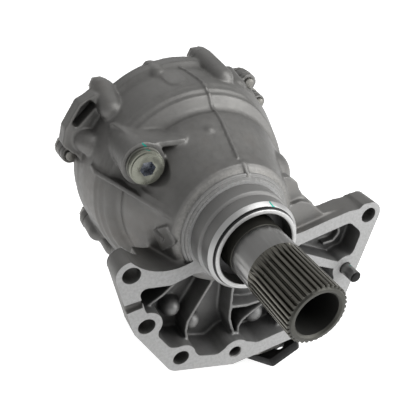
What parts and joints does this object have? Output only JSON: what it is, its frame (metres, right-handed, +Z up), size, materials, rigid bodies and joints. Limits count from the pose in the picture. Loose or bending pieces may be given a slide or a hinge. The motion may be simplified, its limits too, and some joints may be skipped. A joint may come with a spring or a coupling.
{
  "type": "transfer case",
  "caption": "Right-angle transfer case for a transaxle: cast casing with a ribbed mounting flange, hollow splined input shaft, bevel gears and a three-lobed output flange.",
  "frame": {"origin": "on the input axis, in the plane of the machined mounting face", "axes": "+Y along the input axis from the mounting face into the casing, so the splined tube points to -Y; +Z up as the picture shows the part; +X to the right arm of the flange"},
  "size_m": [0.2259, 0.2689, 0.2791],
  "materials": {
    "cast_case": "as cast",
    "cast_cover": "as cast",
    "bolt_steel": "zinc plated",
    "bright_steel": "ground",
    "black_rubber": "smooth",
    "seal_rubber": "moulded",
    "shaft_steel": "turned, oiled",
    "gear_steel": "lapped",
    "black_oxide": "black oxide",
    "race_steel": "ground",
    "roller_steel": "polished",
    "cage_steel": "pressed",
    "black_flange": "satin black",
    "plug_zinc": "olive zinc",
    "washer_metal": "dull",
    "black_plastic": "moulded",
    "stud_steel": "phosphated"
  },
  "bodies": {
    "housing": {"case": "cast_case", "cover": "cast_cover", "cover_bolts": "bolt_steel", "cover_dowels": "bright_steel", "spigot_o_ring": "black_rubber", "input_seal": "seal_rubber", "half_shaft_seal": "seal_rubber", "front_bearing_cup": "race_steel", "rear_bearing_cup": "race_steel", "preload_shim": "bright_steel", "head_bearing_cup": "race_steel", "tail_bearing_cup": "race_steel", "pinion_seal": "seal_rubber", "fill_plug": "plug_zinc", "fill_plug_washer": "washer_metal", "drain_plug": "plug_zinc", "drain_plug_washer": "washer_metal", "breather": "black_plastic", "mounting_stud": "stud_steel"},
    "input": {"input_shaft": "shaft_steel", "ring_gear": "gear_steel", "ring_gear_bolts": "black_oxide", "front_bearing_cone": "race_steel", "rear_bearing_cone": "race_steel"},
    "pinion_drive": {"pinion": "gear_steel", "head_bearing_cone": "race_steel", "tail_bearing_cone": "race_steel", "crush_sleeve": "shaft_steel", "pinion_shim": "bright_steel", "dust_shield": "black_oxide", "companion_flange": "black_flange", "pinion_nut": "bolt_steel"},
    "front_rollers": {"front_bearing_rollers": "roller_steel", "front_bearing_cage": "cage_steel"},
    "rear_rollers": {"rear_bearing_rollers": "roller_steel", "rear_bearing_cage": "cage_steel"},
    "head_rollers": {"head_bearing_rollers": "roller_steel", "head_bearing_cage": "cage_steel"},
    "tail_rollers": {"tail_bearing_rollers": "roller_steel", "tail_bearing_cage": "cage_steel"}
  },
  "joints": [
    {"name": "input_spin", "type": "hinge", "parent": "housing", "child": "input", "pos_m": [0, 0, 0], "axis": [0, 1, 0], "continuous": true},
    {"name": "pinion_spin", "type": "hinge", "parent": "housing", "child": "pinion_drive", "pos_m": [0, 0.0625, 0], "axis": [0.342, 0, -0.9397], "continuous": true},
    {"name": "front_cage_spin", "type": "hinge", "parent": "housing", "child": "front_rollers", "pos_m": [0, 0.022, 0], "axis": [0, 1, 0], "continuous": true},
    {"name": "rear_cage_spin", "type": "hinge", "parent": "housing", "child": "rear_rollers", "pos_m": [0, 0.14, 0], "axis": [0, 1, 0], "continuous": true},
    {"name": "head_cage_spin", "type": "hinge", "parent": "housing", "child": "head_rollers", "pos_m": [0.03181, 0.0625, -0.08739], "axis": [0.342, 0, -0.9397], "continuous": true},
    {"name": "tail_cage_spin", "type": "hinge", "parent": "housing", "child": "tail_rollers", "pos_m": [0.04703, 0.0625, -0.12921], "axis": [0.342, 0, -0.9397], "continuous": true}
  ],
  "couplings": [
    {"joint": "pinion_spin", "follows": "input_spin", "ratio": -2.7692},
    {"joint": "front_cage_spin", "follows": "input_spin", "ratio": 0.4503},
    {"joint": "rear_cage_spin", "follows": "input_spin", "ratio": 0.4503},
    {"joint": "head_cage_spin", "follows": "input_spin", "ratio": -1.1786},
    {"joint": "tail_cage_spin", "follows": "input_spin", "ratio": -1.1775}
  ]
}
